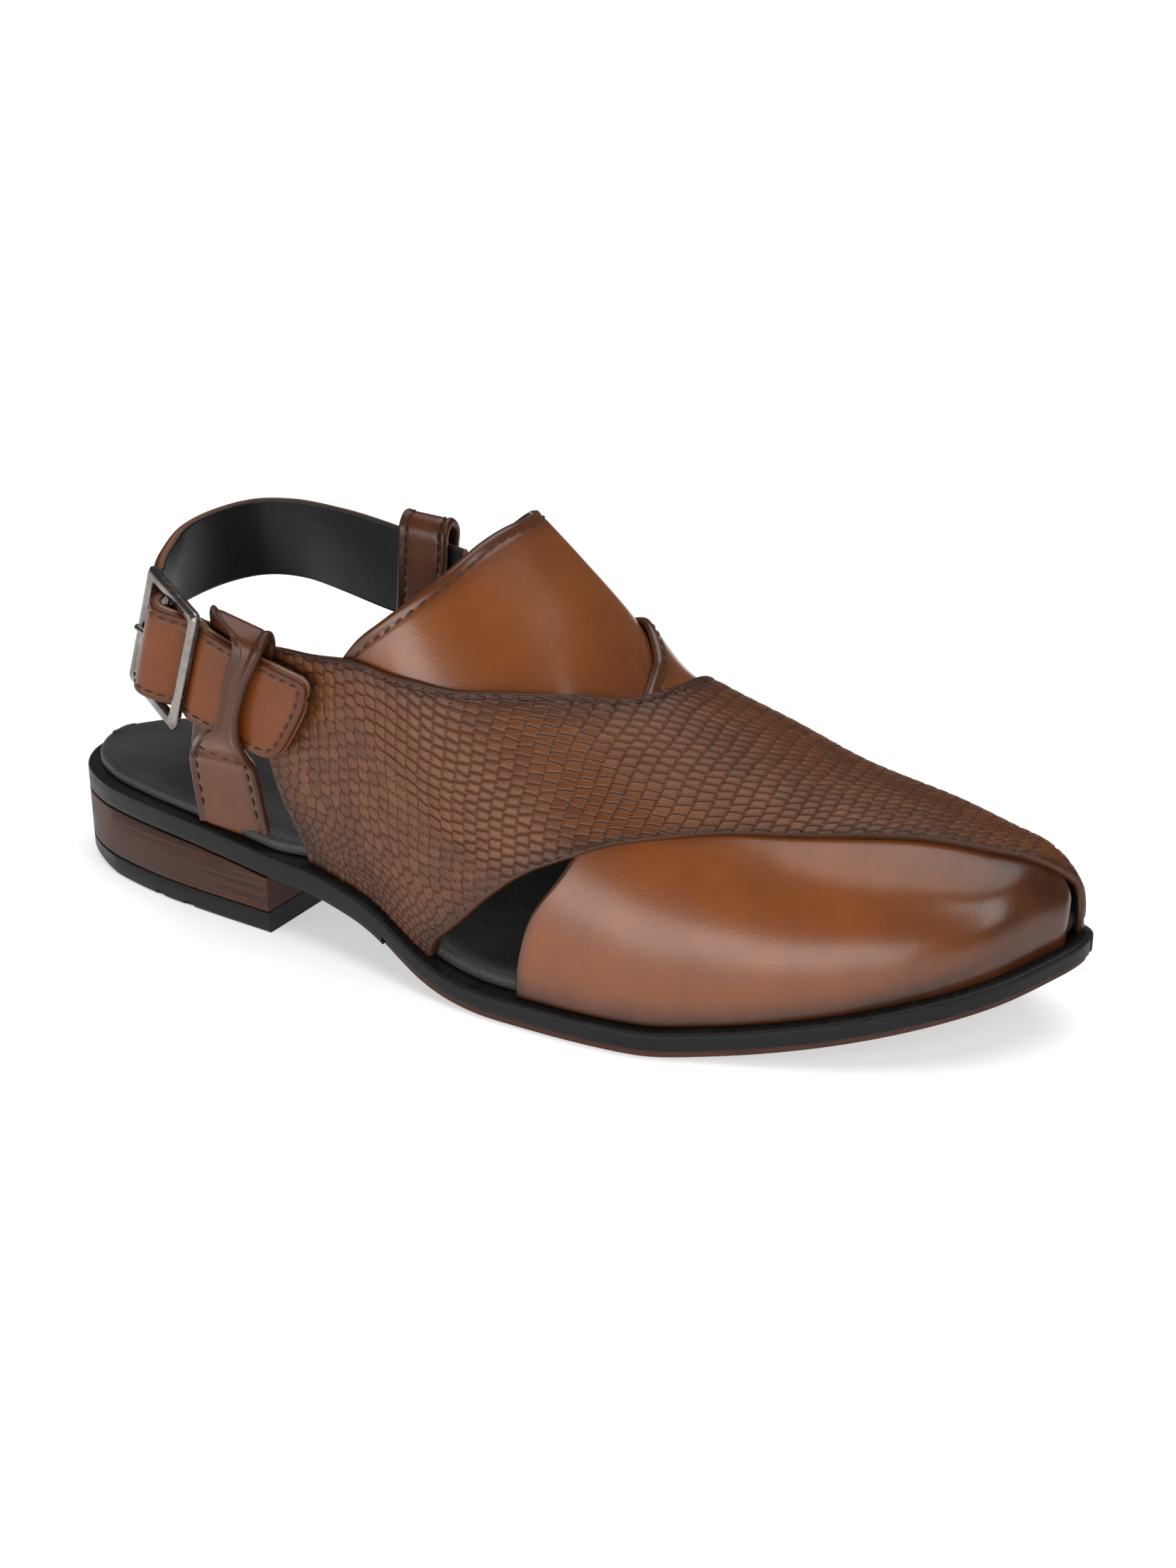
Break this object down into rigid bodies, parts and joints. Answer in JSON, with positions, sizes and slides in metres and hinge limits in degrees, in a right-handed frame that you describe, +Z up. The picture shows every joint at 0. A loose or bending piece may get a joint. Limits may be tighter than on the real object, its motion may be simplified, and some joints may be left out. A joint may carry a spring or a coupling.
{
  "type": "peshawari chappal",
  "caption": "Right peshawari chappal with crossed leather straps, an instep flap, a buckled heel strap, a padded footbed and a low stacked heel.",
  "frame": {"origin": "on the floor, under the middle of the shoe's bounding box", "axes": "+X towards the toe, +Y towards the inner side of the foot, +Z up"},
  "size_m": [0.2998, 0.1016, 0.1158],
  "materials": {
    "outsole": "thin reddish brown sheet, matt",
    "rubber": "black, satin",
    "stack": "stacked layers, dark reddish brown, polished",
    "footbed": "black, soft grain over padding",
    "upper": "embossed scales and smooth burnished leather",
    "tan": "smooth burnished tan, waxed",
    "metal": "dark nickel with worn edges"
  },
  "bodies": {
    "root": {"outsole": "outsole", "sole": "rubber", "heel_stack": "stack", "heel_lift": "rubber", "upper": "upper", "instep_flap": "tan", "lateral_post": "tan", "medial_post": "tan", "insole": "footbed", "buckle_frame": "metal", "buckle_prong": "metal", "buckle_carrier": "tan", "heel_strap": "tan"}
  },
  "joints": []
}
